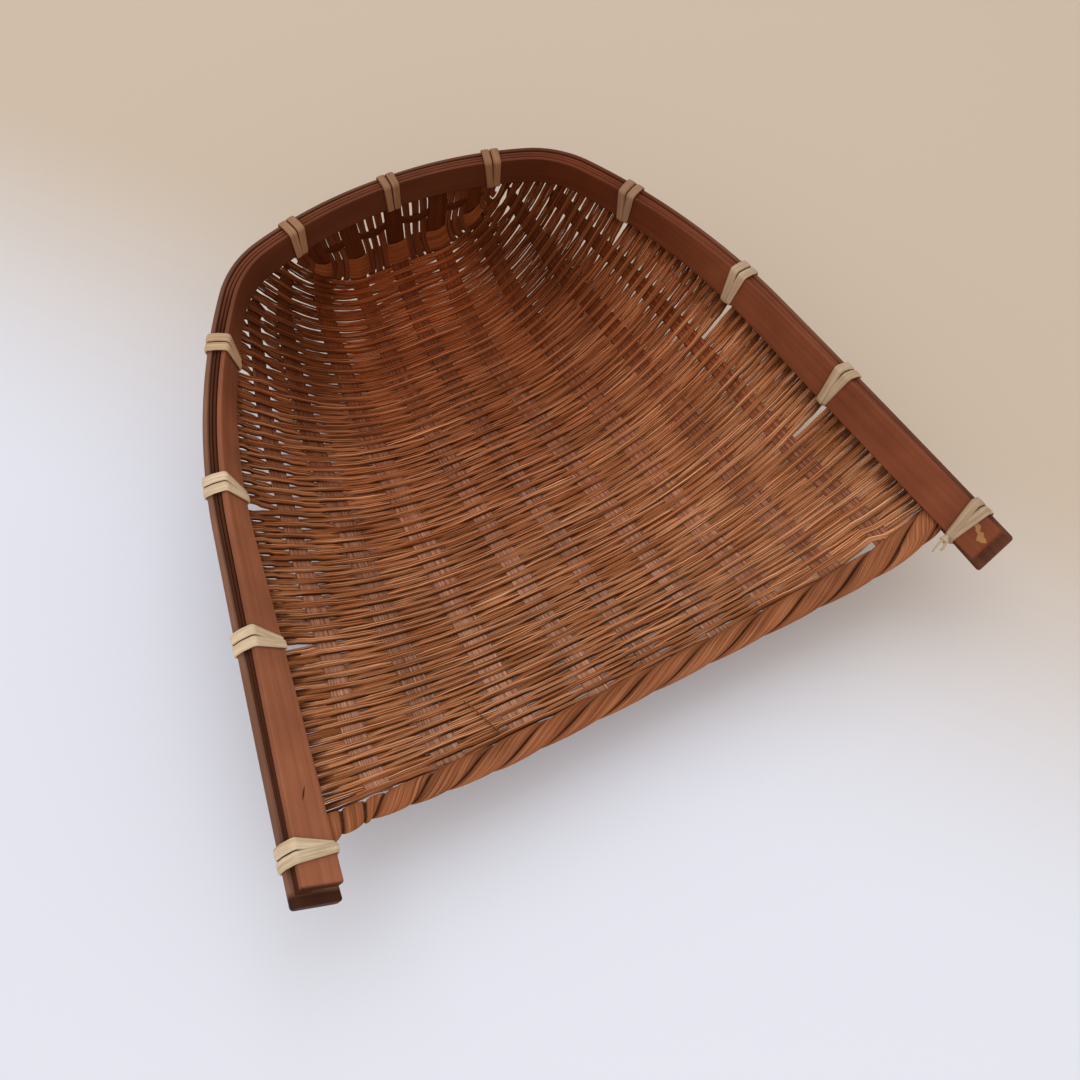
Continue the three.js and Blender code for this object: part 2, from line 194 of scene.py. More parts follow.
def wall(u, w):
    """The back wall: a smooth curve that leaves the last row in the mat's own direction and comes up
    to the rim from straight below. w runs from 0 at the row to 1 at the rim."""
    u, w = np.broadcast_arrays(u, w)
    step = 1e-3
    foot = mat(u, np.ones_like(u))
    head = rim(u * mat_corner_reach, clamp_rise(u * mat_corner_reach))
    reach = np.linalg.norm(head - foot, axis=-1, keepdims=True) / 3
    rise = unit(foot - mat(u, np.full_like(u, 1 - step)))
    t = w[..., None]
    return ((1 - t) ** 3 * foot + 3 * (1 - t) ** 2 * t * (foot + reach * rise)
            + 3 * (1 - t) * t ** 2 * (head - reach * np.array([0, 0, 1])) + t ** 3 * head)


def wall_axes(u, w):
    """Directions along the wall to the right, and into the basket."""
    step = 1e-3
    low = np.clip(w - step, 0, 1 - 2 * step)
    right = unit(wall(u + step, w) - wall(u - step, w))
    up = wall(u, low + 2 * step) - wall(u, low)
    return right, unit(np.cross(right, up))


def gone_along(points):
    """The length along a path, or along each of several paths, from its start to each of its points."""
    pieces = np.linalg.norm(np.diff(points, axis=-2), axis=-1)
    return np.concatenate([np.zeros_like(pieces[..., :1]), np.cumsum(pieces, axis=-1)], axis=-1)


row_steps = np.linspace(0, 1, 121)


def row_lengths(v):
    """Lengths along one half of row v, from the mat's middle to its steps, the last of them at the rim."""
    return gone_along(mat(row_steps, np.full_like(row_steps, v)))


def across_at(v, length):
    """The u that lies the given length along row v from the mat's middle, read from the row's own length."""
    return np.sign(length) * np.interp(np.abs(length), row_lengths(v), row_steps)


def around(corners):
    """The angles of a section's corners, evenly spaced."""
    return np.arange(corners) * 2 * np.pi / corners


def oval(corners, side_power, lift_power):
    """A closed loop round a point, from -1 to 1 both ways: powers of the cosine and the sine of an angle,
    with their signs. The lower the power, the fuller the corners."""
    angle = around(corners)
    side = np.sign(np.cos(angle)) * np.abs(np.cos(angle)) ** side_power
    lift = np.sign(np.sin(angle)) * np.abs(np.sin(angle)) ** lift_power
    return side, lift


def ribbon(centre, across, normal, width, thickness, corners=12, fullness=4):
    """A profile carried along a path: at each station a closed loop round the path's point, a flattened oval
    that is fuller the higher its number."""
    side, lift = oval(corners, 2 / fullness, 2 / fullness)
    width = np.broadcast_to(width, centre.shape[:-1])[..., None, None]
    thickness = np.broadcast_to(thickness, centre.shape[:-1])[..., None, None]
    return (centre[..., None, :] + across[..., None, :] * side[:, None] * width / 2
            + normal[..., None, :] * lift[:, None] * thickness / 2)


def ramp_up(value, low, high):
    """Goes evenly from 0 at the low value to 1 at the high one."""
    return np.clip((value - low) / (high - low), 0, 1)


def shade_reddening_at(points, back, start=0.03, right=0.0):
    """How much painted shade reddens and darkens a point: it grows evenly towards the back and to the right,
    where less light falls.
    """
    to_back = back * ramp_up(points[..., 1], start, shade_reddening_back_full)
    to_right = right * ramp_up(points[..., 0], *shade_reddening_right_range)
    return np.clip(to_back + to_right, 0, 1)


def skin(name, loops, material, tone=0.0, seed=None, shade_reddening=0.0):
    """Closed skins over strands: loops[strand, station, corner] are joined to their neighbours by quads, and
    the end loops by one face each. Each point keeps how far along and across its strand it lies."""
    strands, stations, corners, _ = loops.shape
    index = np.arange(strands * stations * corners).reshape(strands, stations, corners)
    turned = np.roll(index, -1, axis=2)
    quads = np.stack([index[:, :-1], turned[:, :-1], turned[:, 1:], index[:, 1:]], -1).reshape(-1, 4)
    caps = np.concatenate([index[:, 0, ::-1], index[:, -1]])
    points = loops.reshape(-1, 3)
    a, b, c, d = (points[quads[:, i]] for i in range(4))
    if np.einsum("ij,ij->", a, np.cross(b, c) + np.cross(c, d)) < 0:
        quads, caps = quads[:, ::-1], caps[:, ::-1]
    mesh = bpy.data.meshes.new(name)
    mesh.vertices.add(len(points))
    mesh.vertices.foreach_set("co", points.ravel())
    mesh.loops.add(quads.size + caps.size)
    mesh.loops.foreach_set("vertex_index", np.concatenate([quads.ravel(), caps.ravel()]).astype(np.int32))
    sizes = np.concatenate([np.full(len(quads), 4), np.full(len(caps), corners)])
    mesh.polygons.add(len(sizes))
    mesh.polygons.foreach_set("loop_start", (np.cumsum(sizes) - sizes).astype(np.int32))
    mesh.polygons.foreach_set("use_smooth", sizes == 4)
    centre = loops.mean(axis=2)
    along = gone_along(centre)
    side = unit(loops[:, :, 0] - centre)
    across = np.einsum("ijkl,ijl->ijk", loops - centre[:, :, None], side)
    number = np.arange(strands) if seed is None else np.asarray(seed)
    lie = np.stack(np.broadcast_arrays(along[..., None], across, number[:, None, None] * 1.0), -1)
    mesh.attributes.new("lie", "FLOAT_VECTOR", "POINT").data.foreach_set("vector", lie.ravel())
    for label, value in (("tone", tone), ("shade_reddening", shade_reddening)):
        shade = np.broadcast_to(value, (strands, stations, corners)).astype(float)
        mesh.attributes.new(label, "FLOAT", "POINT").data.foreach_set("value", shade.ravel())
    mesh.update(calc_edges=True)
    mesh.validate()
    mesh.materials.append(material)
    piece = bpy.data.objects.new(name, mesh)
    bpy.context.scene.collection.objects.link(piece)
    return piece


def stands_for(piece, slot, *nodes):
    """The piece rides on the basket's one body and hides the nodes, if any. The slot is not used."""
    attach(piece, "root")
    if nodes:
        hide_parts(*nodes)


def added(tree, kind, output, inputs, **settings):
    """A new node of a material: it is set up, each input is fed with a value or with another node's output,
    and its own output is handed on."""
    node = tree.nodes.new("ShaderNode" + kind)
    for name, value in settings.items():
        setattr(node, name, value)
    for name, value in inputs.items():
        if isinstance(value, bpy.types.NodeSocket):
            tree.links.new(value, node.inputs[name])
        else:
            node.inputs[name].default_value = value
    return node.outputs[output]


def split_bamboo(name, colours, line_width, line_length, roughness, relief, spread=0.2, sheen=0.08):
    """Long fibres along the strand: noise that is stretched along it and fine across it goes from dark to
    pale. Each strand and each patch of the basket is a little lighter or darker. An attribute of painted
    shade reddens and darkens it towards the back and the right, and the tone attribute browns it towards
    black, for real stains and marks and for painted shade in crevices, corners, along the rim and on the
    back wall."""
    dark, plain, pale = colours
    material = bpy.data.materials.new(name)
    material.use_nodes = True
    tree = material.node_tree
    lie = added(tree, "Attribute", "Vector", {}, attribute_name="lie")
    shade_reddening = added(tree, "Attribute", "Fac", {}, attribute_name="shade_reddening")
    tone = added(tree, "Attribute", "Fac", {}, attribute_name="tone")
    fineness = (1 / line_length, 1 / line_width, strand_shift)
    stretched = added(tree, "VectorMath", 0, {0: lie, 1: fineness}, operation="MULTIPLY")
    grain = {"Vector": stretched, "Scale": 1.0, "Detail": 3.0, "Roughness": 0.6}
    fibre = added(tree, "TexNoise", "Fac", grain)
    colour = added(tree, "ValToRGB", "Color", {"Fac": fibre})
    stops = colour.node.color_ramp.elements
    stops[0].position = fibre_levels[0]
    stops[1].position = fibre_levels[2]
    stops[0].color = (*dark, 1)
    stops[1].color = (*pale, 1)
    stops.new(fibre_levels[1]).color = (*plain, 1)
    strand = added(tree, "SeparateXYZ", "Z", {0: lie})
    drawn = added(tree, "TexWhiteNoise", "Value", {"W": strand}, noise_dimensions="1D")
    strand_range = {"To Min": 1 - spread, "To Max": 1 + spread}
    strand_level = added(tree, "MapRange", "Result", {"Value": drawn, **strand_range})
    place = added(tree, "TexCoord", "Object", {})
    patch = added(tree, "TexNoise", "Fac", {"Vector": place, "Scale": patch_scale})
    patch_level = added(tree, "MapRange", "Result", {"Value": patch, **patch_range})
    level = added(tree, "Math", 0, {0: strand_level, 1: patch_level}, operation="MULTIPLY")
    # Painted shade: the colour is multiplied by a red-brown tint as far as that attribute says.
    tints = {"Factor": shade_reddening, "A": (1, 1, 1, 1), "B": (*shade_reddening_tint, 1)}
    tint = added(tree, "Mix", "Result", tints, data_type="RGBA")
    tinted = added(tree, "VectorMath", 0, {0: colour, 1: tint}, operation="MULTIPLY")
    lit = added(tree, "VectorMath", 0, {0: tinted, "Scale": level}, operation="SCALE")
    browns = {"Factor": tone, "A": lit, "B": (*stain_and_shade_brown, 1)}
    browned = added(tree, "Mix", "Result", browns, data_type="RGBA")
    bump = added(tree, "Bump", "Normal", {"Distance": relief, "Strength": 1.0, "Height": fibre})
    shader = tree.nodes["Principled BSDF"]
    tree.links.new(browned, shader.inputs["Base Color"])
    tree.links.new(bump, shader.inputs["Normal"])
    shader.inputs["Roughness"].default_value = roughness
    shader.inputs["Specular IOR Level"].default_value = sheen
    return material


warp_places = np.arange(-warp_pairs, warp_pairs + 1)
warp_room = 0.008
drift_rows = np.linspace(0, 1, 5)
drift_millimetres = np.array([(-1.4, -9.0, -9.0, -9.0, 0), (-0.8, -3.9, -6.8, -9.0, 0),
                              (2.6, 2.0, -0.1, -1.2, 0), (7.9, 7.5, 4.5, 3.1, 0),
                              (5.7, 6.6, 3.5, 1.4, 0), (7.3, 9.0, 4.0, 0.9, 0),
                              (5.4, 9.0, 6.2, 4.5, 0), (6.3, 9.0, 9.0, 9.0, 0),
                              (3.6, 9.0, 9.0, 9.0, 0)])
drift_curves = np.polynomial.polynomial.polyfit(drift_rows, drift_millimetres.T / 1000, len(drift_rows) - 1)
warp_bamboo = split_bamboo("warp_bamboo", warp_colours, line_width=0.0006, line_length=0.03,
                           roughness=0.6, relief=0.0001)
rows = np.linspace(0.0, 1.0, 89)
wall_stations = 24
tuck_steps = np.linspace(0.25, 1, 4)


def warps_at(v):
    """The warps that find room in row v, by number, and where they cross it, along the row from the mat's
    middle: evenly spaced, closer towards the back, then drifted aside as a polynomial of v, because they were
    laid in by hand."""
    even = warp_places * (warp_pitch_front + (warp_pitch_back - warp_pitch_front) * v)
    drift = np.polynomial.polynomial.polyval(v, drift_curves)
    room = row_lengths(v)[-1] - warp_room
    here = np.abs(even) < room
    return warp_places[here], np.clip(even + drift, -room, room)[here]


crossings = [dict(zip(*warps_at(v))) for v in rows]


def up_the_wall(u, first=0.02):
    """Path of a strip that stands in the back wall at u: up the wall and then upright between the hoops.
    Gives its points and the directions across it and out of it."""
    w = np.linspace(first, 1.0, wall_stations)
    u = np.broadcast_to(u, w.shape)
    wall_right, wall_normal = wall_axes(u, w)
    s = np.full(len(tuck_steps), u[-1] * mat_corner_reach)
    tail = rim(s, clamp_rise(s) + mat_tuck * tuck_steps)
    centre = np.concatenate([wall(u, w), tail])
    right = np.concatenate([wall_right, wall_right[-1:].repeat(len(s), axis=0)])
    normal = np.concatenate([wall_normal, -rim_axes(s)[1]])
    return centre, right, normal


def warp_loops(place, width):
    """One warp: a flat ribbon on the mat at its own place in every row that has room for it, then up the wall
    and upright between the hoops. Beside the rim a warp that runs out of room stops short."""
    room = np.array([place in crossing for crossing in crossings])
    v = rows[room]
    lengths = [crossing[place] for crossing in crossings if place in crossing]
    u = np.array([across_at(row, length) for row, length in zip(v, lengths)])
    centre = mat(u, v)
    back, normal = mat_axes(u, v)
    right = unit(np.cross(back, normal))
    # Painted shade: darker towards the back, on the right, in the back corners and up the wall.
    shading = warp_back_shading * ramp_up(v, 0.45, 0.7) + warp_right_shading * ramp_up(u, 0.35, 0.7)
    shading = shading + warp_corner_shading * ramp_up(np.abs(u), 0.40, 0.65) * ramp_up(v, 0.6, 0.85)
    if room.all():
        wall_centre, wall_right, wall_normal = up_the_wall(u[-1])
        centre = np.concatenate([centre, wall_centre])
        right = np.concatenate([right, wall_right])
        normal = np.concatenate([normal, wall_normal])
        shading = np.concatenate([shading, np.full(len(wall_centre), wall_shading)])
    loops = ribbon(centre, right, normal, width, warp_thickness, corners=16, fullness=5)
    return loops[None], shading[None, :, None]


for place, width in zip(warp_places, warp_widths):
    node = f"warp_{place + warp_pairs + 1}"
    loops, shading = warp_loops(place, width)
    # Painted shade: reddened towards the back and to the right.
    shade_reddening = shade_reddening_at(loops, warp_shade_reddening, start=mat_shade_reddening_start, right=warp_shade_reddening_right)
    warp = skin(f"{node}_strip", loops, warp_bamboo, tone=shading, seed=[place + warp_pairs], shade_reddening=shade_reddening)
    stands_for(warp, "warp", node)


# Wefts: fine split strands from side to side, each over one warp and under the next, the next strand the
# other way. They lie close on the floor and stand apart near the rim, where light shows between them. Their
# ends go between the hoops, and they part at the ties and behind the right end of the border.
course_count = 24
wefts_per_course = 4
splints_per_weft = 3
weft_count = course_count * wefts_per_course
weft_thickness = 0.00065
weft_lift = 0.00055
width_over, width_between, width_under = 0.00258, 0.00274, 0.00320
open_over, open_between, open_under = 0.00240, 0.00254, 0.00256
rim_step = 0.021
rim_hold = 0.006
weft_stations = 150
tail_stations = 4
weft_corners = 8
pair_shift = 0.00015
splint_wander = 0.07
splint_lift = 0.00006
splint_overlap = 1.12
# Painted shade along the seams between a weft's splints.
splint_seam_shading = 0.36
weave_skew = 0.018
skew_peak = 6.75
tie_every_courses = 6
tie_opening_left, tie_opening_right = 0.0019, 0.0014
tie_length_left, tie_length_right = 0.016, 0.024
tie_opening_rows = 2.5
tie_opening_curve = 0.7
front_gap = 0.0022
front_gap_rows = 3
front_gap_ends = (0.66, 0.75, 0.835, 0.875)
front_gap_shares = (0, 0.35, 1, 0)
open_lift = 0.75
open_limit = 1.2
# Painted shade in the crevices between wefts: heaviest on each weft's front edge, away from the light.
crevice_shading = 0.95
crevice_front, crevice_back = (0.40, 0.62), (0.62, 0.84)
crevice_back_share = 0.7
crevice_wander, crevice_least = 0.65, 0.35
calm_right, calm_back = 0.33, 0.42
stain_lengths = (0.02, 0.06)
stain_share = 0.22
stain_tone = 0.55
# Painted shade in the back corners, along the rim and at the ends that go under the hoops.
corner_shading = 0.62
rim_shading = 0.24
end_shading = 0.8
end_shading_length = 0.006
weft_colours = ((0.165, 0.034, 0.006), (0.445, 0.152, 0.055), (0.930, 0.505, 0.280))
# Painted shade: the wefts redden towards the back, less so on the left, where more light falls.
weft_shade_reddening = 0.8
left_shade_relief = 0.4
weft_bamboo = split_bamboo("weft_bamboo", weft_colours, line_width=0.00032, line_length=0.045,
                           roughness=0.6, relief=0.00005, spread=0.22, sheen=0.05)
chance = np.random.default_rng(7)


def wander(count, stations, waves):
    """A slow random drift along each strand, between about -1 and 1: a sum of a few sines of random phase."""
    t = np.linspace(0, 1, stations)
    phase = chance.uniform(0, 2 * np.pi, (count, waves, 1))
    rate = chance.uniform(2, 9, (count, waves, 1))
    return np.sin(2 * np.pi * rate * t + phase).mean(axis=1)


def openness(u, v):
    """How far the wefts stand apart: not on the floor, more towards the rim and at the bend to the wall."""
    sides = ramp_up(np.abs(u), 0.60, 0.92) * ramp_up(v, 0.15, 0.55)
    back = ramp_up(v, 0.74, 0.95) * (0.45 + 0.55 * ramp_up(np.abs(u), 0.2, 0.6))
    corners = 0.7 * ramp_up(np.abs(u), 0.5, 0.8) * ramp_up(v, 0.72, 0.9)
    return np.maximum(sides, back) + corners


def over_under(cosine):
    """1 over a warp and -1 under one, level between two warps, with short smooth slopes beside them."""
    slope = ramp_up(np.abs(cosine), 0.35, 0.85)
    return np.sign(cosine) * slope * slope * (3 - 2 * slope)


def by_wave(wave, over, between, under):
    """A size that goes smoothly between its values over a warp, between two warps and under one."""
    return between + (over - under) / 2 * wave + ((over + under) / 2 - between) * wave * wave


def weft_loops(number):
    """One weft, made of a few splints: along its row it goes over one warp and under the next, in step with a
    cosine. Near the rim it flattens out, is pushed aside by a tie, and turns up between the hoops. Gives its
    loops and their tone: painted shade along the splints' edges, in the back corners, near the rim and at the
    ends that go under the hoops, and a few real stains."""
    v_row = (number + 0.5) / weft_count
    full = row_lengths(v_row)[-1]
    length = np.linspace(-full, full, weft_stations)
    u = across_at(v_row, length)
    lean = weave_skew * skew_peak * v_row * (1 - v_row) ** 2
    to_rim = full - np.abs(length)
    tie_rows = np.arange(1, 4) * tie_every_courses / course_count
    at_rim = v_row + lean * np.sign(u)
    away = at_rim - tie_rows[np.argmin(np.abs(at_rim[:, None] - tie_rows), axis=1)]
    opening = np.where(u < 0, tie_opening_left, tie_opening_right)
    push = opening / (rim_front - mat_corner_reach) * np.exp(-np.abs(away) * weft_count / tie_opening_rows)
    tie_length = np.where(u < 0, tie_length_left, tie_length_right)
    beside = np.clip(1 - to_rim / tie_length, 0, 1) ** tie_opening_curve
    gap = front_gap * np.exp(-number / front_gap_rows) * np.interp(u, front_gap_ends, front_gap_shares)
    v = v_row + lean * u * np.abs(u) + np.sign(away) * push * beside + gap / (rim_front - mat_corner_reach)
    back, normal = mat_axes(u, v)
    places, crossed = warps_at(v_row)
    places = np.concatenate([places[:1] - 1, places, places[-1:] + 1])
    crossed = np.concatenate([crossed[:1] - rim_step, crossed, crossed[-1:] + rim_step])
    wave = over_under(np.cos(np.pi * (np.interp(length, crossed, places) + number)))
    held = np.clip(to_rim / rim_hold, 0, 1)
    apart = openness(u, v)
    closed_width = by_wave(wave, width_over, width_between, width_under)
    open_width = by_wave(wave, open_over, open_between, open_under)
    width = closed_width + (open_width - closed_width) * np.minimum(apart, open_limit)
    paired = pair_shift * apart * (1 if number % 2 == 0 else -1)
    spread = (np.arange(splints_per_weft) - (splints_per_weft - 1) / 2)[:, None] / splints_per_weft
    drift = wander(splints_per_weft, weft_stations, 3)
    aside = paired + width * (spread + splint_wander * drift)
    lift = weft_lift * (1 + open_lift * apart) * wave * held
    lift = lift + splint_lift * wander(splints_per_weft, weft_stations, 3)
    centre = mat(u, v) + aside[..., None] * back + lift[..., None] * normal
    tails = []
    for side, end in ((-1, 0), (1, -1)):
        s = side * rim_at(v[end]) - side * aside[:, [end]]
        rise = clamp_rise(s) + mat_tuck * np.linspace(0.3, 1, tail_stations)
        tails.append((rim(s, rise), np.broadcast_to(back[end], (splints_per_weft, tail_stations, 3)),
                      -rim_axes(np.broadcast_to(s, rise.shape))[1]))
    (left, left_back, left_in), (right, right_back, right_in) = tails
    back = np.broadcast_to(back, centre.shape)
    normal = np.broadcast_to(normal, centre.shape)
    centre = np.concatenate([left[:, ::-1], centre, right], axis=1)
    across = np.concatenate([left_back, back, right_back], axis=1)
    normal = np.concatenate([left_in[:, ::-1], normal, right_in], axis=1)
    width = np.pad(width, tail_stations, mode="edge") / splints_per_weft
    width = width * chance.uniform(1.0, splint_overlap, (splints_per_weft, 1))
    loops = ribbon(centre, across, normal, width, weft_thickness, corners=weft_corners, fullness=5)
    # Painted shade along the splints' edges, where the crevices lie in shade; calmer on the right and at the
    # back.
    edge = np.cos(around(weft_corners))
    off_middle = 2 * spread[:, :, None] + edge / splints_per_weft
    front_edge = ramp_up(-off_middle, *crevice_front)
    back_edge = crevice_back_share * ramp_up(off_middle, *crevice_back)
    crevice = np.where(off_middle < 0, front_edge, back_edge)
    strength = 1 + crevice_wander * wander(splints_per_weft, centre.shape[1], 2)
    strength = np.clip(strength, crevice_least, 1)
    calm = np.maximum(calm_right * ramp_up(u, 0.25, 0.7), calm_back * ramp_up(v, 0.6, 0.85))
    calm = np.pad(calm, tail_stations, mode="edge")
    crevice = crevice_shading * crevice * (strength * (1 - calm))[..., None]
    crevice = np.maximum(crevice, splint_seam_shading * (1 - calm)[:, None] * ramp_up(np.abs(edge), 0.3, 0.7))
    stain_at = chance.uniform(0, 1, (splints_per_weft, 1))
    stain_long = chance.uniform(*stain_lengths, (splints_per_weft, 1))
    stain_dark = np.where(chance.uniform(0, 1, (splints_per_weft, 1)) < stain_share, stain_tone, 0.0)
    t = np.linspace(0, 1, centre.shape[1])
    stain = stain_dark * np.exp(-((t - stain_at) / stain_long) ** 2)
    # Painted shade in the back corners, along the rim and at the ends that go under the hoops.
    shading = corner_shading * ramp_up(np.abs(u), 0.40, 0.68) * ramp_up(v, 0.60, 0.86)
    left_rim_shading = ramp_up(-u, 0.78, 0.95) * ramp_up(v, 0.2, 0.5)
    shading = np.maximum(shading, rim_shading * np.where(u < 0, left_rim_shading, ramp_up(u, 0.92, 1.0)))
    shading = np.maximum(shading, end_shading * np.clip(1.3 - to_rim / end_shading_length, 0, 1) * (wave < 0))
    shading = np.pad(shading, tail_stations, mode="edge")
    return loops, 1 - (1 - crevice) * ((1 - stain) * (1 - shading))[..., None]


for course in range(course_count):
    strands = [weft_loops(number) for number in course * wefts_per_course + np.arange(wefts_per_course)]
    loops = np.concatenate([strand[0] for strand in strands])
    tones = np.concatenate([strand[1] for strand in strands])
    seeds = course * 100 + np.arange(len(loops))
    node = f"weft_course_{course + 1:02d}"
    # Painted shade: reddened towards the back, less so on the left.
    shade_reddening = shade_reddening_at(loops, weft_shade_reddening, start=mat_shade_reddening_start)
    shade_reddening = shade_reddening * (1 - left_shade_relief * ramp_up(-loops[..., 0], 0.04, 0.10))
    weft = skin(f"{node}_strands", loops, weft_bamboo, tone=tones, seed=seeds, shade_reddening=shade_reddening)
    stands_for(weft, "weft", node)


# Loose fibre: a hair of bamboo that has split off a weft near the front edge on the left. It lies across the
# other wefts.
fibre_lengths = -0.0678, -0.0650, -0.0618
fibre_rows = 0.0935, 0.062, 0.009
fibre_width = 0.0005
fibre_lift = 0.0015


def fibre_loops():
    """A thin ribbon on the mat along a curve through three points, a parabola in both directions."""
    t = np.linspace(0, 1, 25)
    length, v = (np.polyval(np.polyfit((0, 0.5, 1), points, 2), t) for points in (fibre_lengths, fibre_rows))
    u = np.array([across_at(row, along) for row, along in zip(v, length)])
    normal = mat_axes(u, v)[1]
    centre = mat(u, v) + fibre_lift * normal
    across = unit(np.cross(np.gradient(centre, axis=0), normal))
    return ribbon(centre, across, normal, fibre_width, fibre_width, corners=8, fullness=2)[None]


stands_for(skin("loose_fibre", fibre_loops(), weft_bamboo, tone=0.6), "weft")


# Wall stakes: short strips, split into fingers, that stand in the back wall between the warps, and loose
# fingers at its two ends. Light shows through the splits and beside the strips.
stake_pairs = 2
stake_fingers = 3
stake_width = 0.0117
stake_split = 0.0005
stake_lean = 0.0005
stake_fan = 0.06
stake_waist = 0.24
# Painted shade: the stakes stand in the shaded back wall and are browned and reddened all over.
stake_shading, stake_shade_reddening = 0.6, 0.9
stake_seed = 20
end_fingers = 0.0518, 0.0556, 0.0594
stake_thickness = 0.0009
finger_pitch = (stake_width + stake_split) / stake_fingers


def finger_loops(feet):
    """Upright fingers on the given feet. Each is a flat ribbon that leans a little to one side on its way up
    and has a waist half-way, a sine squared, and the group fans out evenly towards the top."""
    finger = finger_pitch - stake_split
    fingers = []
    for foot in feet:
        lean = chance.uniform(-stake_lean, stake_lean) * np.linspace(-1, 1, wall_stations)
        fan = stake_fan * (foot - np.mean(feet)) * np.linspace(0, 1, wall_stations)
        centre, right, normal = up_the_wall(across_at(1.0, foot + lean + fan), first=0.0)
        height = np.linspace(0, 1, len(centre))
        waist = stake_waist * chance.uniform(0, 1) * np.sin(np.pi * height) ** 2
        narrow = finger * (1 + stake_fan * height - waist)
        fingers.append(ribbon(centre, right, normal, narrow, stake_thickness, corners=12, fullness=4))
    return np.stack(fingers)


for index, place in enumerate(np.arange(2 * stake_pairs) + 0.5 - stake_pairs):
    node = f"wall_stake_{index + 1}"
    feet = place * warp_pitch_back + (np.arange(stake_fingers) - (stake_fingers - 1) / 2) * finger_pitch
    seeds = stake_seed + index * stake_fingers + np.arange(stake_fingers)
    loops = finger_loops(feet)
    stake = skin(f"{node}_fingers", loops, warp_bamboo, tone=stake_shading, seed=seeds, shade_reddening=stake_shade_reddening)
    stands_for(stake, "warp", node)
for side in (-1, 1):
    loops = finger_loops(side * np.array(end_fingers))
    ends = skin(f"wall_end_fingers_{side + 2}", loops, warp_bamboo, tone=stake_shading, shade_reddening=stake_shade_reddening)
    stands_for(ends, "warp")


# Wall strips: two flat strips that cross the back wall from side to side. The wide one at the foot passes
# inside the warps and outside the stakes, the narrow one above it the other way.
strip_thickness = 0.0009
strip_lift = 0.0012
strip_overhang = 0.002
strip_corners = 20
wall_warps = 2
base_strip = (0.03, 0.38)
upper_strip = (0.65, 0.775)
# Painted shade: the strips lie in the shaded back wall, the upper one, right under the hoops, darkest.
base_shading, base_shade_reddening = 0.22, 0.6
upper_shading, upper_shade_reddening = 0.84, 0.8
upper_seed = 3
strip_colours = ((0.180, 0.052, 0.015), (0.310, 0.100, 0.030), (0.400, 0.150, 0.052))
strip_bamboo = split_bamboo("strip_bamboo", strip_colours, line_width=0.0012, line_length=0.05,
                            roughness=0.6, relief=0.00006)


def wall_strip_loops(low, high, warp_side):
    """A flat ribbon between two heights on the wall that waves in and out as a cosine, one wave to a warp."""
    reach = wall_warps * warp_pitch_back + warp_width / 2 + strip_overhang
    length = np.linspace(-reach, reach, 121)
    u = across_at(1.0, length)[:, None]
    side, lift = oval(strip_corners, side_power=0.3, lift_power=0.5)
    w = (low + high) / 2 + side * (high - low) / 2
    wave = warp_side * strip_lift * np.cos(2 * np.pi * length / warp_pitch_back)[:, None]
    normal = wall_axes(*np.broadcast_arrays(u, w))[1]
    return (wall(u, w) + (wave + lift * strip_thickness / 2)[..., None] * normal)[None]


base = wall_strip_loops(*base_strip, 1)
base = skin("back_base_strip_band", base, strip_bamboo, tone=base_shading, shade_reddening=base_shade_reddening)
stands_for(base, "weft", "back_base_strip")
upper = wall_strip_loops(*upper_strip, -1)
upper = skin("back_upper_strip_band", upper, strip_bamboo, tone=upper_shading, seed=[upper_seed],
             shade_reddening=upper_shade_reddening)
stands_for(upper, "weft", "back_upper_strip")


# Front border: each warp's end is bent to the left and wound over the front edge, so that the ends lie side
# by side as slanting folds round a thick roll. At the left end the roll thins out and its folds stand up.
border_width = 0.013
border_left_reach = (0.0, 0.008, 0.020, 0.070)
border_left_widths = (0.0125, 0.0095, 0.0085, 0.013)
border_left_fullness = (0.45, 0.6, 0.75, 1.0)
border_right_width = 0.011
border_right_taper = 0.050
border_right_back = 0.0035
border_thickness = 0.0064
border_tuck = 0.004
border_gap = 0.0003
fold_thickness = 0.0028
fold_crease = 0.0004
fold_pitch = 0.0245
fold_corners = 20
fold_first, fold_last = np.radians(8), np.radians(330)
# Painted shade: the folds darken towards their edges, where each passes under the next.
fold_edge_shading = 0.8
core_depth = 0.6
# Painted shade: the core is seen only in the gaps between the folds, so it is nearly black-brown.
core_shading = 0.85
border_colours = ((0.150, 0.042, 0.014), (0.285, 0.096, 0.038), (0.410, 0.165, 0.074))
border_bamboo = split_bamboo("border_bamboo", border_colours, line_width=0.0010, line_length=0.05,
                             roughness=0.5, relief=0.00010, spread=0.1)
front_half = row_lengths(0.0)[-1]
border_half = front_half + border_tuck
fold_starts = np.array([0.0, 0.0097, 0.0189, 0.027, 0.047])
fold_starts = np.concatenate([fold_starts, np.arange(0.073, 2 * border_half + 0.08, fold_pitch)])
fold_leads = np.interp(fold_starts, [0.0, 0.019, 0.027, 0.047, 0.073, 0.120],
                       [0.002, 0.004, 0.014, 0.022, 0.042, 0.060])


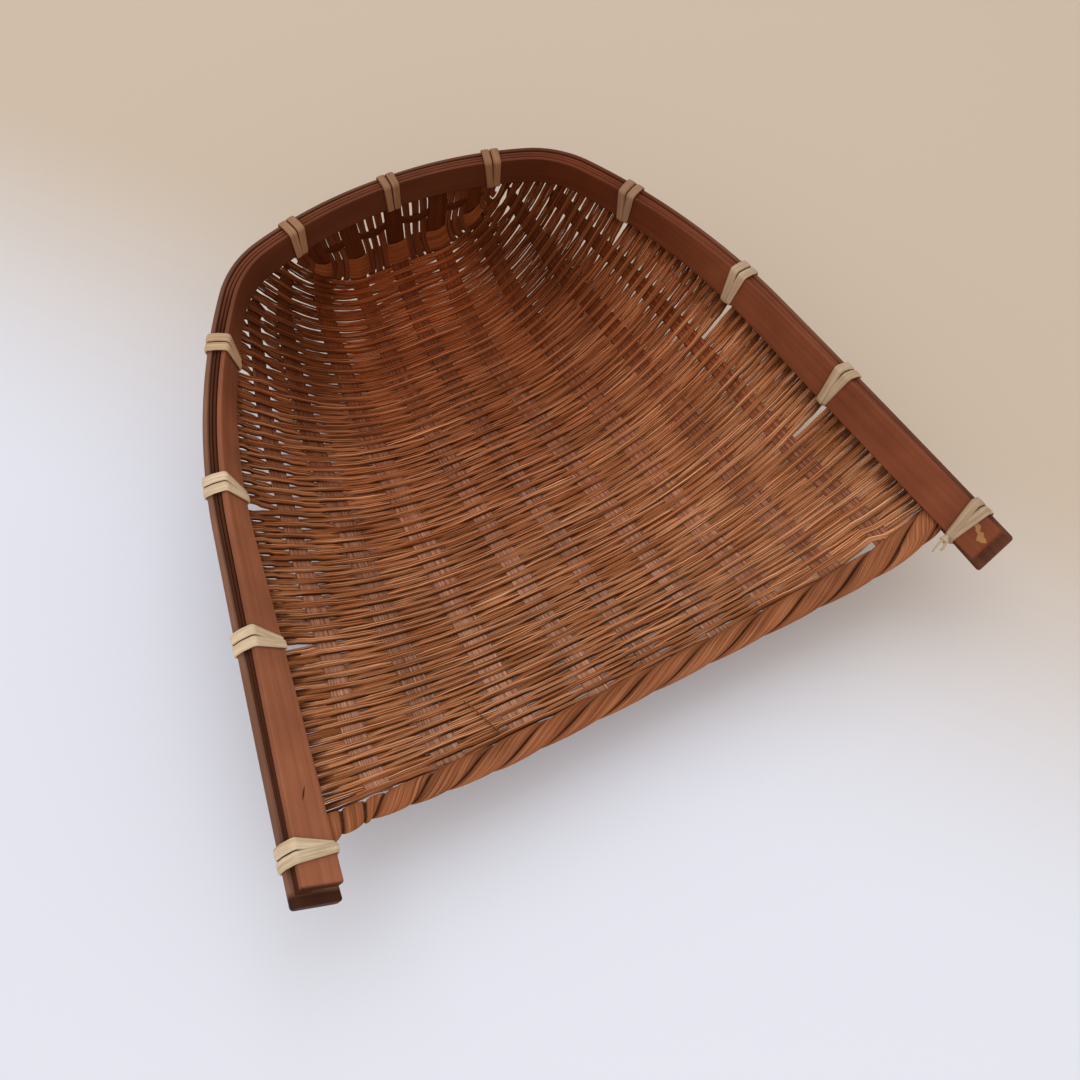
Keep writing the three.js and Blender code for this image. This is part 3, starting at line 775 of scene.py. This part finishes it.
def on_border(length, angle, rise):
    """A point of the roll. length runs along the mat's front edge from its middle, the angle goes from the
    mat over the top to the front, and rise is the distance out of a flattened oval. The oval shrinks towards
    both ends, and past the mat's corners the roll goes straight on."""
    length, angle, rise = np.broadcast_arrays(length, angle, rise)
    held = np.clip(length, -front_half, front_half)
    beyond = (length - held)[..., None]
    u = across_at(0.0, held)
    back, normal = mat_axes(u, np.zeros_like(u))
    right = unit(np.cross(back, normal))
    right_end = 1 - np.clip((border_half - length) / border_right_taper, 0, 1)
    width = np.interp(length + border_half, border_left_reach, border_left_widths)
    width = (width + (border_right_width - border_width) * right_end ** 2)[..., None]
    full = np.interp(length + border_half, border_left_reach, border_left_fullness)[..., None]
    thickness, rise = full * border_thickness, full * rise[..., None]
    centre = mat(u, np.zeros_like(u)) - (width / 2 + border_gap) * back + beyond * right
    centre = centre + border_right_back * (right_end ** 2)[..., None] * back
    turn_back = np.cos(angle)[..., None] * back
    turn_up = np.sin(angle)[..., None] * normal
    return centre + turn_back * (width / 2 + rise) + turn_up * (thickness / 2 + rise)


def fold_loops(number):
    """One fold: between two slanting lines it winds from the mat's edge over the top and the front to the
    underside, and it is crowned between them."""
    wound = np.linspace(fold_first, fold_last, 60)
    gone = (wound - wound[0]) / (wound[-1] - wound[0])
    lines = fold_starts[number:number + 2, None] - fold_leads[number:number + 2, None] * gone
    low, high = np.clip(lines - border_half, -border_half, border_half)
    low, high = low + fold_crease, np.maximum(high - fold_crease, low + 2 * fold_crease)
    side, lift = oval(fold_corners, side_power=0.85, lift_power=1)
    length = (low + high)[:, None] / 2 + side * (high - low)[:, None] / 2
    return on_border(length, wound[:, None], (lift - 1) * fold_thickness / 2)


folds = np.stack([fold_loops(number) for number in range(len(fold_starts) - 1)])
core_turn = around(fold_corners)
fold_edge = fold_edge_shading * np.abs(np.cos(core_turn)) ** 6
core_length = np.linspace(-border_half, border_half, 90)[:, None]
core = on_border(core_length, core_turn, -fold_thickness * core_depth)
border_folds = skin("front_border_folds", folds, border_bamboo, tone=fold_edge)
stands_for(border_folds, "border", "front_border")
border_core = skin("front_border_core", core[None], border_bamboo, tone=core_shading)
stands_for(border_core, "border")


# Hoops: two strips of smoked bamboo, steamed and bent into a U, upright at the back and leaning out along the
# arms. They are shaved thinner towards the bend, and hold the mat's edge between them.
inner_set_back = 0.004
inner_end = rim_half - inner_set_back
hoop_colours = ((0.262, 0.090, 0.044), (0.300, 0.106, 0.054), (0.330, 0.120, 0.063))
bark_colours = ((0.215, 0.098, 0.062), (0.265, 0.126, 0.080), (0.310, 0.155, 0.102))
# Painted shade on the hoops: dark faces and edges at the back, a darker right arm and darker left edges.
hoop_face_shading = 0.72
hoop_edge_shading = 0.48
left_edge_shading = 0.22
right_arm_shading = 0.22
# Cut ends: darker for end grain and for painted shade.
left_tip_grain_and_shading, right_tip_grain_and_shading = 0.88, 0.25
darkest_hoop = 0.96
# Painted shade: the hoops and fillers redden towards the back and to the right.
rim_shade_reddening, rim_shade_reddening_right = 0.4, 0.5
hoop_corners = 24
hoop_stations = 311
tip_round = 0.0012
hoop_bamboo = split_bamboo("hoop_bamboo", hoop_colours, line_width=0.0028, line_length=0.12,
                           roughness=0.5, relief=0.00003, spread=0.06, sheen=0.07)
bark_bamboo = split_bamboo("bark_bamboo", bark_colours, line_width=0.0020, line_length=0.12,
                           roughness=0.5, relief=0.00003, spread=0.06, sheen=0.07)


def hoop_tone(s):
    """Painted shade: a little darker along the right arm than along the left, dark on the faces and edges at
    the back, and on the left arm's edges. The cut ends are darker too, most the left one, for end grain and
    for painted shade. Gives one value to each corner of a section, from the top outwards."""
    right_arm = right_arm_shading * ramp_up(s, 0.06, 0.16)
    tips = np.where(s < 0, left_tip_grain_and_shading, right_tip_grain_and_shading) * ramp_up(np.abs(s), inner_end - 0.001, inner_end)
    faces = np.abs(np.sin(around(hoop_corners))) > 0.3
    back = 1 - ramp_up(np.abs(s), 0.07, 0.18)[:, None]
    edges = np.maximum(hoop_edge_shading * back, left_edge_shading * ramp_up(-s, 0.07, 0.18)[:, None])
    sections = (right_arm + tips)[:, None] + np.where(faces, hoop_face_shading * back, edges)
    return np.minimum(sections, darkest_hoop)


def hoop_loops(side, end, heights):
    """One hoop: a rounded upright section carried along the rim, on the inner or outer side of the gap. Its
    height follows a quarter circle at each tip."""
    turn = np.linspace(0.0, np.pi / 2, 7)[1:]
    tip = end - tip_round * (1 - np.sin(turn))
    s = np.concatenate([-tip[::-1], np.linspace(tip_round - end, end - tip_round, hoop_stations), tip])
    cut = np.concatenate([1 - np.cos(turn[::-1]), np.zeros(hoop_stations), 1 - np.cos(turn)])
    thickness = shaved(s, hoop_thickness)
    up, out = rim_axes(s)
    centre = rim(s, 0.0, side * (hoop_gap + thickness) / 2)
    height = shaved(s, heights) - 2 * tip_round * cut
    loops = ribbon(centre, up, out, height, thickness, corners=hoop_corners, fullness=9)
    return loops[None], hoop_tone(s)[None]


hoops = (("inner_hoop", hoop_bamboo, (-1, inner_end, inner_height)),
         ("outer_hoop", bark_bamboo, (1, rim_half, outer_height)))
for index, (node, bamboo, sizes) in enumerate(hoops):
    loops, tone = hoop_loops(*sizes)
    shade_reddening = shade_reddening_at(loops, rim_shade_reddening, right=rim_shade_reddening_right)
    hoop = skin(f"{node}_strip", loops, bamboo, tone=tone, seed=[index], shade_reddening=shade_reddening)
    stands_for(hoop, "hoop", node)


# Marks on the inner hoop: a tan patch at the right end, where the brown skin has peeled off along the grain,
# and a dark scratch on the left arm.
patch_ends, patch_heights, patch_width = (0.0100, 0.0008), (0.0024, 0.0000), 0.0028
scratch_ends, scratch_heights, scratch_width = (0.0335, 0.0287), (-0.0009, 0.0010), 0.0006
scratch_tone = 0.9
mark_thickness = 0.0002
bare_colours = ((0.300, 0.135, 0.048), (0.375, 0.180, 0.066), (0.450, 0.230, 0.090))
bare_bamboo = split_bamboo("bare_bamboo", bare_colours, line_width=0.0008, line_length=0.01,
                           roughness=0.6, relief=0.00005)


def mark_loops(side, ends, heights, width, bumps):
    """A thin flake on the inner hoop's face: a ribbon between two distances from the hoop's end, narrow at
    both ends as a sine, with a ragged outline from a few more sines."""
    t = np.linspace(0, 1, 41)
    s = side * (inner_end - np.interp(t, (0, 1), ends))
    ragged = 1 + bumps * (0.35 * np.sin(9 * t + 1) + 0.25 * np.sin(23 * t))
    rise = np.interp(t, (0, 1), heights) + bumps * 0.0006 * np.sin(7 * t)
    centre = rim(s, rise, -hoop_gap / 2 - shaved(s, hoop_thickness))
    up, out = rim_axes(s)
    width = width * (0.15 + np.sin(np.pi * t)) * ragged
    return ribbon(centre, up, out, width, mark_thickness)[None]


patch = mark_loops(1, patch_ends, patch_heights, patch_width, 1)
stands_for(skin("right_end_patch", patch, bare_bamboo), "hoop")
scratch = mark_loops(-1, scratch_ends, scratch_heights, scratch_width, 0)
stands_for(skin("left_arm_scratch", scratch, bare_bamboo, tone=scratch_tone), "hoop")


# Rim fillers: two thin strips that close the gap between the hoops from above and cover the mat's cut ends.
# They are seen as fine lines on the rim's top edge.
filler_thickness = 0.00125
filler_height = 0.0055
filler_fit = 0.0003
filler_stations = np.linspace(-inner_end, inner_end, 261)
filler_tone = 0.4 - 0.25 * ramp_up(filler_stations, 0.06, 0.14)[:, None]
filler_tone = filler_tone + 0.45 * ramp_up(-filler_stations, 0.08, 0.11)[:, None]


def filler_loops(side):
    """One filler: a thin upright ribbon in the gap, its top level with the inner hoop."""
    s = filler_stations
    up, out = rim_axes(s)
    middle = shaved(s, inner_height) / 2 - filler_height / 2
    centre = rim(s, middle, side * (filler_thickness + filler_fit) / 2)
    return ribbon(centre, up, out, filler_height, filler_thickness, corners=16, fullness=6)[None]


for side, node in ((-1, "rim_filler_inner"), (1, "rim_filler_outer")):
    loops = filler_loops(side)
    # Painted shade: reddened towards the back and to the right, as the hoops are.
    shade_reddening = shade_reddening_at(loops, rim_shade_reddening, right=rim_shade_reddening_right)
    filler = skin(f"{node}_strip", loops, hoop_bamboo, tone=filler_tone, seed=[5 + side], shade_reddening=shade_reddening)
    stands_for(filler, "filler", node)


# Ties: flat strands of pale rattan peel, each wound twice round the rim. The two turns lie side by side over
# the hoops and run together where they go through the mat below the inner hoop.
tie_back_width, tie_front_width = 0.0036, 0.0041
tie_hole_width = 0.0028
tie_thickness = 0.0009
tie_fit = 0.0003
tie_lane_gap = 0.0004
tie_corner = 0.0008
hole_lanes_back, hole_lanes_fall = 0.85, 0.7
tie_corners = 12
# Painted shade on the ties: darker edges, and darker and redder on the right and at the back.
tie_edge_shading, tie_right_shading, tie_back_shading = 0.22, 0.22, 0.18
tie_shade_reddening, tie_shade_reddening_right = 0.72, 0.24
front_tie_inset = 0.0162
tie_colours = ((0.510, 0.375, 0.240), (0.630, 0.480, 0.325), (0.730, 0.590, 0.420))
tie_rattan = split_bamboo("tie_rattan", tie_colours, line_width=0.0008, line_length=0.02,
                          roughness=0.5, relief=0.00002, spread=0.06, sheen=0.2)


def tie_loops(s):
    """Two turns of one tie: round a rounded outline of the rim's section, each an oval ribbon. They are wide
    and side by side at the top, and narrow and one over the other where they go through the mat."""
    skin_off = tie_fit + tie_thickness / 2
    face = hoop_gap / 2 + shaved(s, hoop_thickness) + skin_off
    outer = shaved(s, outer_height) / 2 + skin_off
    inner = shaved(s, inner_height) / 2 + skin_off
    c = tie_corner
    hole = hole_lanes_back - hole_lanes_fall * np.abs(s) / rim_half
    stops = np.array([(-outer, 0, 0, hole), (-inner, c - face, 0.3, hole), (c - inner, -face, 0.5, hole),
                      (inner - c, -face, 1, 1), (inner, c - face, 1, 1), (outer, 0, 1, 1),
                      (outer, face - c, 1, 1), (outer - c, face, 1, 1), (c - outer, face, 0.5, hole),
                      (-outer, face - c, 0.3, hole), (-outer, 0, 0, hole)])
    gone = gone_along(stops[:, :2])
    at = np.linspace(0, gone[-1], 81)
    rise, outset, wide, apart = (np.interp(at, gone, stops[:, i]) for i in range(4))
    along = np.stack([np.gradient(rise), np.gradient(outset)], -1)
    along = along / np.linalg.norm(along, axis=1, keepdims=True)
    tie_width = tie_back_width + (tie_front_width - tie_back_width) * min(np.abs(s) / rim_front, 1)
    width = tie_hole_width + (tie_width - tie_hole_width) * wide
    side, lift = oval(tie_corners, side_power=0.7, lift_power=0.8)
    bulge = lift * tie_thickness / 2
    turns = []
    for lane in (-1, 1):
        middle = s + lane * apart * (tie_width + tie_lane_gap) / 2
        off = bulge + (tie_thickness * (1 - apart)[:, None] if lane > 0 else 0)
        turns.append(rim(middle[:, None] + side * width[:, None] / 2, rise[:, None] - off * along[:, 1:],
                         outset[:, None] + off * along[:, :1]))
    return np.stack(turns)


wall_end = across_at(1.0, wall_warps * warp_pitch_back + warp_width / 2)
tie_places = {"corner": mat_corner_reach * (wall_end + 1) / 2,
              "front": rim_half - front_tie_inset}
for index, name in enumerate(("fore", "middle", "rear")):
    tie_places[name] = rim_at((index + 1) * tie_every_courses / course_count)
tie_nodes = {"tie_back": 0.0}
tie_nodes.update({f"tie_{name}_left": -s for name, s in tie_places.items()})
tie_nodes.update({f"tie_{name}_right": s for name, s in tie_places.items()})
tie_edge = tie_edge_shading * np.abs(np.cos(around(tie_corners))) ** 6
for index, (node, s) in enumerate(tie_nodes.items()):
    loops = tie_loops(s)
    # Painted shade: darker edges, darker on the right and at the back.
    tone = tie_edge + tie_right_shading * ramp_up(s, -0.10, -0.02)
    tone = tone + tie_back_shading * (1 - ramp_up(np.abs(s), 0.06, 0.16))
    shade_reddening = shade_reddening_at(loops, tie_shade_reddening, right=tie_shade_reddening_right)
    tie = skin(f"{node}_turns", loops, tie_rattan, tone=tone, seed=[2 * index, 2 * index + 1], shade_reddening=shade_reddening)
    stands_for(tie, "tie", node)


# Knot: the right front tie ends in a small knot below the inner hoop, with two loose ends that lie along the
# front edge.
knot_radius = 0.0013
knot_width = 0.0016
knot_turn = 8.0
knot_tone = 0.2
knot_ends = ((-0.0085, -0.0012, -0.0006), (-0.0065, -0.0030, 0.0006))


def knot_loops(s):
    """One strand that winds a little more than once round the tie as a helix, and loose ends that run from
    there on shallow sine waves and grow narrow."""
    low = shaved(s, inner_height) / 2 + tie_thickness
    start = rim(s, -low, -hoop_gap / 2 - shaved(s, hoop_thickness))
    t = np.linspace(0, 1, 24)[:, None]
    up = np.array([0.0, 0.0, 1.0])
    wind = knot_turn * t
    ring = start + knot_radius * np.concatenate([1.5 * t - 2, np.cos(wind), np.sin(wind)], axis=1)
    outward = np.concatenate([0 * t, np.cos(wind), np.sin(wind)], axis=1)
    wound = np.cross(unit(np.gradient(ring, axis=0)), outward)
    strands = [ribbon(ring, wound, outward, knot_width, tie_thickness)]
    for number, reach in enumerate(knot_ends):
        path = start + np.array(reach) * t + np.array([0, 0.0005, 0.0008]) * np.sin(4 * t + 2 * number)
        across = unit(np.cross(up, np.array(reach)))
        strands.append(ribbon(path, np.broadcast_to(across, path.shape), np.broadcast_to(up, path.shape),
                              knot_width * (1 - 0.6 * t[:, 0]), tie_thickness))
    return np.stack(strands)


knot = skin("tie_front_right_knot", knot_loops(tie_places["front"]), tie_rattan, tone=knot_tone)
stands_for(knot, "tie")


# Floor, light and camera: a pale table top under cool soft light from above and behind and warm light from
# all round, seen from the front left at the height of someone standing over the basket.
table_half = 3.0
# Painted light on the table: cool white where daylight falls, warm beige where the light is warmer and
# dimmer.
table_daylit_white = (0.75, 0.78, 0.885)
table_lamplit_beige = (0.585, 0.480, 0.380)
table_slope = (0.8, 0.6, 0)
table_turn = {"From Min": -0.10, "From Max": 0.13}
table_roughness = 0.7
room_colour, room_strength = (1.05, 0.985, 0.89), 0.70
window_colour = (0.90, 0.985, 1.13)
side_colour = (1.0, 0.985, 0.965)
camera_place = (-0.1127, rim_back_y - 0.3499, 0.4036)
camera_azimuth = np.radians(-28.77)
camera_elevation = np.radians(60.31)
camera_roll = np.radians(1.15)
image_size = 1080
focal_pixels = 1044
sensor_width = 36


def table_material():
    """Painted light: cool white at the front and on the left, where daylight falls, turning to warm beige
    behind the basket and on its right, where the light is warmer and dimmer.
    """
    material = bpy.data.materials.new("table_painted_light")
    material.use_nodes = True
    tree = material.node_tree
    place = added(tree, "TexCoord", "Object", {})
    slope = added(tree, "VectorMath", "Value", {0: place, 1: table_slope}, operation="DOT_PRODUCT")
    depth = added(tree, "MapRange", "Result", {"Value": slope, **table_turn}, interpolation_type="SMOOTHSTEP")
    painted_light = {"Factor": depth, "A": (*table_daylit_white, 1), "B": (*table_lamplit_beige, 1)}
    shader = tree.nodes["Principled BSDF"]
    tree.links.new(added(tree, "Mix", "Result", painted_light, data_type="RGBA"), shader.inputs["Base Color"])
    shader.inputs["Roughness"].default_value = table_roughness
    return material


table_mesh = bpy.data.meshes.new("table")
table_corners = [(x * table_half, y * table_half, 0) for x, y in ((-1, -1), (1, -1), (1, 1), (-1, 1))]
table_mesh.from_pydata(table_corners, [], [(0, 1, 2, 3)])
table_mesh.materials.append(table_material())
table = bpy.data.objects.new("table", table_mesh)
bpy.context.scene.collection.objects.link(table)

world = bpy.data.worlds.new("room")
bpy.context.scene.world = world
world.use_nodes = True
background = world.node_tree.nodes["Background"]
background.inputs["Color"].default_value = (*room_colour, 1)
background.inputs["Strength"].default_value = room_strength


def soft_lamp(name, place, aim, size, power, colour):
    """A square area lamp at a place, turned to face another."""
    lamp = bpy.data.lights.new(name, "AREA")
    lamp.size = size
    lamp.energy = power
    lamp.color = colour
    holder = bpy.data.objects.new(name, lamp)
    holder.location = place
    facing = Vector(aim) - Vector(place)
    holder.rotation_euler = facing.to_track_quat("-Z", "Y").to_euler()
    bpy.context.scene.collection.objects.link(holder)


soft_lamp("window", (0.1, 0.7, 1.5), (0, 0, 0), size=1.8, power=10, colour=window_colour)
soft_lamp("room_side", (-0.4, -1.1, 0.9), (0, 0, 0), size=1.5, power=5, colour=side_colour)

toward = np.array([np.sin(camera_azimuth) * np.cos(camera_elevation),
                   -np.cos(camera_azimuth) * np.cos(camera_elevation), np.sin(camera_elevation)])
level_right = np.array([np.cos(camera_azimuth), np.sin(camera_azimuth), 0])
level_up = np.cross(toward, level_right)
right = level_right * np.cos(camera_roll) + level_up * np.sin(camera_roll)
up = level_up * np.cos(camera_roll) - level_right * np.sin(camera_roll)
lens = bpy.data.cameras.new("camera")
lens.sensor_fit = "HORIZONTAL"
lens.sensor_width = sensor_width
lens.lens = sensor_width * focal_pixels / image_size
lens.clip_start = 0.01
camera = bpy.data.objects.new("camera", lens)
pose = np.eye(4)
pose[:3, :3] = np.stack([right, up, toward], axis=1)
pose[:3, 3] = camera_place
camera.matrix_world = Matrix(pose.tolist())
bpy.context.scene.collection.objects.link(camera)
bpy.context.scene.camera = camera
bpy.context.scene.view_settings.view_transform = "Standard"
